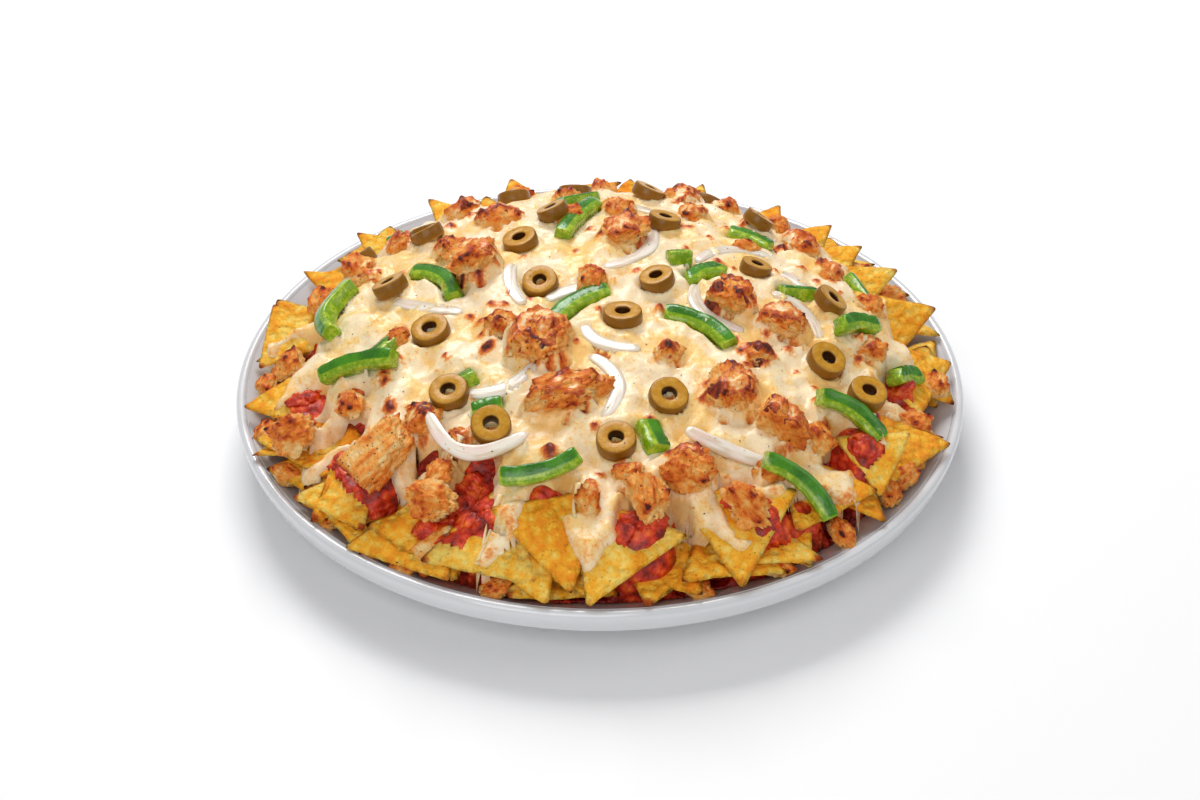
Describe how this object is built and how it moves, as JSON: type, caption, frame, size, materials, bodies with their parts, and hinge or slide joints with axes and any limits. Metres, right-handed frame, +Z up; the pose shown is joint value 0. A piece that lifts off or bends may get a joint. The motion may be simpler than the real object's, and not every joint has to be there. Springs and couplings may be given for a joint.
{
  "type": "plate of nachos",
  "caption": "Round white plate of nachos: heaped tortilla chips with salsa, melted cheese, chicken, olive slices, green pepper and onion.",
  "frame": {"origin": "centre of the plate's underside, on the surface it stands on", "axes": "+Z up through the plate's middle; -Y towards the side seen in front"},
  "size_m": [0.3, 0.3, 0.0858],
  "materials": {
    "porcelain": "glossy white glaze",
    "tortilla_chip": "baked corn chip, matte with blisters and toasted edges",
    "salsa": "wet chunky tomato salsa",
    "cheese": "melted cheese, satin, with browned spots",
    "olive": "moist green olive",
    "green_pepper": "glossy skin, moist flesh",
    "onion": "moist, slightly see-through",
    "chicken": "roasted, fibrous, browned tips"
  },
  "bodies": {
    "root": {"cheese": "cheese", "chicken_01": "chicken", "chicken_02": "chicken", "chicken_03": "chicken", "chicken_04": "chicken", "chicken_05": "chicken", "chicken_06": "chicken", "chicken_07": "chicken", "chicken_08": "chicken", "chicken_09": "chicken", "chicken_10": "chicken", "chicken_11": "chicken", "chicken_12": "chicken", "chicken_13": "chicken", "chicken_14": "chicken", "chip_heap": "tortilla_chip", "olive_01": "olive", "olive_02": "olive", "olive_03": "olive", "olive_04": "olive", "olive_05": "olive", "olive_06": "olive", "olive_07": "olive", "olive_08": "olive", "olive_09": "olive", "olive_10": "olive", "olive_11": "olive", "olive_12": "olive", "olive_13": "olive", "olive_14": "olive", "olive_15": "olive", "olive_16": "olive", "olive_17": "olive", "olive_18": "olive", "onion_01": "onion", "onion_02": "onion", "onion_03": "onion", "onion_04": "onion", "onion_05": "onion", "onion_06": "onion", "onion_07": "onion", "onion_08": "onion", "onion_09": "onion", "onion_10": "onion", "pepper_01": "green_pepper", "pepper_02": "green_pepper", "pepper_03": "green_pepper", "pepper_04": "green_pepper", "pepper_05": "green_pepper", "pepper_06": "green_pepper", "pepper_07": "green_pepper", "pepper_08": "green_pepper", "pepper_09": "green_pepper", "pepper_10": "green_pepper", "pepper_11": "green_pepper", "pepper_12": "green_pepper", "pepper_13": "green_pepper", "pepper_14": "green_pepper", "plate": "porcelain", "salsa": "salsa"}
  },
  "joints": []
}
